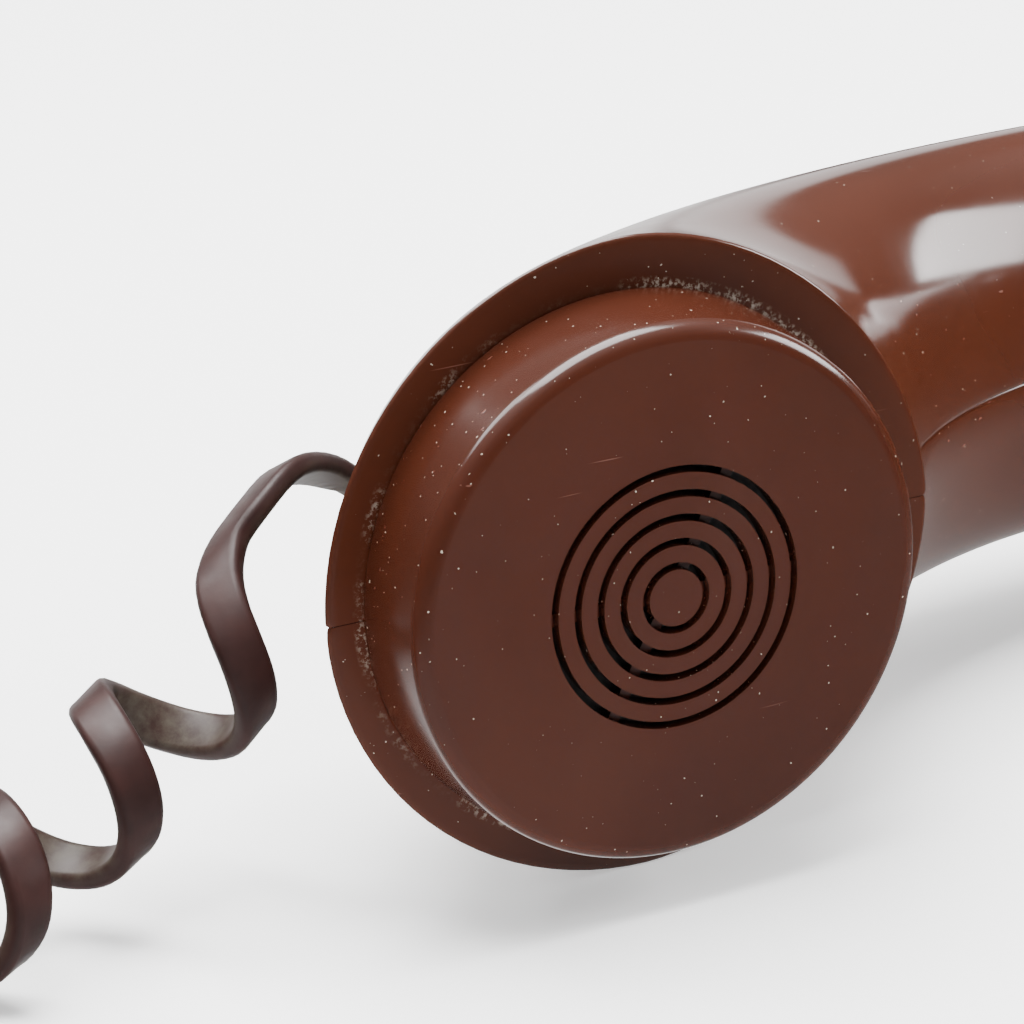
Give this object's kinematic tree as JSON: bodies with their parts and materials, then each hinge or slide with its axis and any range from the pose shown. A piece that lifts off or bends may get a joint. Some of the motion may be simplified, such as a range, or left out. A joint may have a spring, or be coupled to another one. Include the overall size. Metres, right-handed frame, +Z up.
{
  "type": "telephone handset",
  "caption": "Arched glossy brown telephone handset lying on its side, with round screw caps, ring-slotted mouthpiece and a flat curly cord ending in a modular plug.",
  "frame": {"origin": "on the supporting surface, under the middle of the handset without its cord", "axes": "+X from the mouthpiece to the earpiece, -Y the way both caps face, +Z up; the shells meet on a level plane"},
  "size_m": [0.371, 0.0831, 0.068],
  "materials": {
    "shell": "glossy moulded brown plastic with fine scratches and dust",
    "cap": "glossy moulded brown plastic",
    "seal": "soft black sealing rubber",
    "screen_cloth": "open dark cloth and foam",
    "capsule_metal": "pressed sheet metal",
    "diaphragm": "thin foil",
    "holder_plastic": "moulded dark plastic",
    "contact_brass": "brass strip and turned brass",
    "magnet_steel": "ground steel",
    "coil_copper": "enamelled copper winding",
    "lead_insulation": "insulated wire",
    "screw_steel": "zinc plated steel",
    "cord_rubber": "soft dark brown moulding",
    "cord": "flexible dark brown flat cord, dusty inside the turns",
    "plug_plastic": "clear moulded plastic, seen as pale grey"
  },
  "bodies": {
    "handset": {"upper_shell": "shell", "lower_shell": "shell", "transmitter_capsule_case": "capsule_metal", "receiver_capsule_case": "capsule_metal", "transmitter_front_grid": "capsule_metal", "receiver_front_grid": "capsule_metal", "transmitter_diaphragm": "diaphragm", "receiver_diaphragm": "diaphragm", "transmitter_holder": "holder_plastic", "receiver_holder": "holder_plastic", "carbon_chamber": "contact_brass", "receiver_magnet": "magnet_steel", "receiver_coil": "coil_copper", "varistor": "holder_plastic", "transmitter_contacts": "contact_brass", "ballast_weight": "magnet_steel", "terminal_block": "holder_plastic", "terminal_screws": "contact_brass", "acoustic_wadding": "screen_cloth", "transmitter_leads": "lead_insulation", "receiver_leads": "lead_insulation", "shell_screws": "screw_steel", "cord_grommet": "cord_rubber", "cord_core": "lead_insulation", "cord_clamp": "screw_steel", "cord_tail": "cord", "curly_cord": "cord", "cord_far_tail": "cord", "plug_body": "plug_plastic", "plug_contacts": "contact_brass"},
    "transmitter_seal": {"transmitter_seal_ring": "seal"},
    "transmitter_cap": {"transmitter_cap": "cap", "transmitter_dust_screen": "screen_cloth"},
    "receiver_seal": {"receiver_seal_ring": "seal"},
    "receiver_cap": {"receiver_cap": "cap", "receiver_dust_screen": "screen_cloth"},
    "latch": {"plug_latch": "plug_plastic"}
  },
  "joints": [
    {"name": "transmitter_cap_advance", "type": "slide", "parent": "handset", "child": "transmitter_seal", "axis": [0, -1, 0], "range_m": [0, 0.0055]},
    {"name": "transmitter_cap_turn", "type": "hinge", "parent": "transmitter_seal", "child": "transmitter_cap", "pos_m": [-0.08, -0.02208, 0.034], "axis": [0, -1, 0], "range_deg": [0, 330.5]},
    {"name": "receiver_cap_advance", "type": "slide", "parent": "handset", "child": "receiver_seal", "axis": [0, -1, 0], "range_m": [0, 0.0055]},
    {"name": "receiver_cap_turn", "type": "hinge", "parent": "receiver_seal", "child": "receiver_cap", "pos_m": [0.08, -0.02208, 0.034], "axis": [0, -1, 0], "range_deg": [0, 330.5]},
    {"name": "plug_latch_press", "type": "hinge", "parent": "handset", "child": "latch", "pos_m": [-0.231, -0.00007, 0.0075], "axis": [0, 1, 0], "range_deg": [0, 12], "stiffness_Nm_per_rad": 0.02}
  ],
  "couplings": [
    {"joint": "transmitter_cap_turn", "follows": "transmitter_cap_advance", "rad_per_m": 1047.2},
    {"joint": "receiver_cap_turn", "follows": "receiver_cap_advance", "rad_per_m": 1047.2}
  ]
}
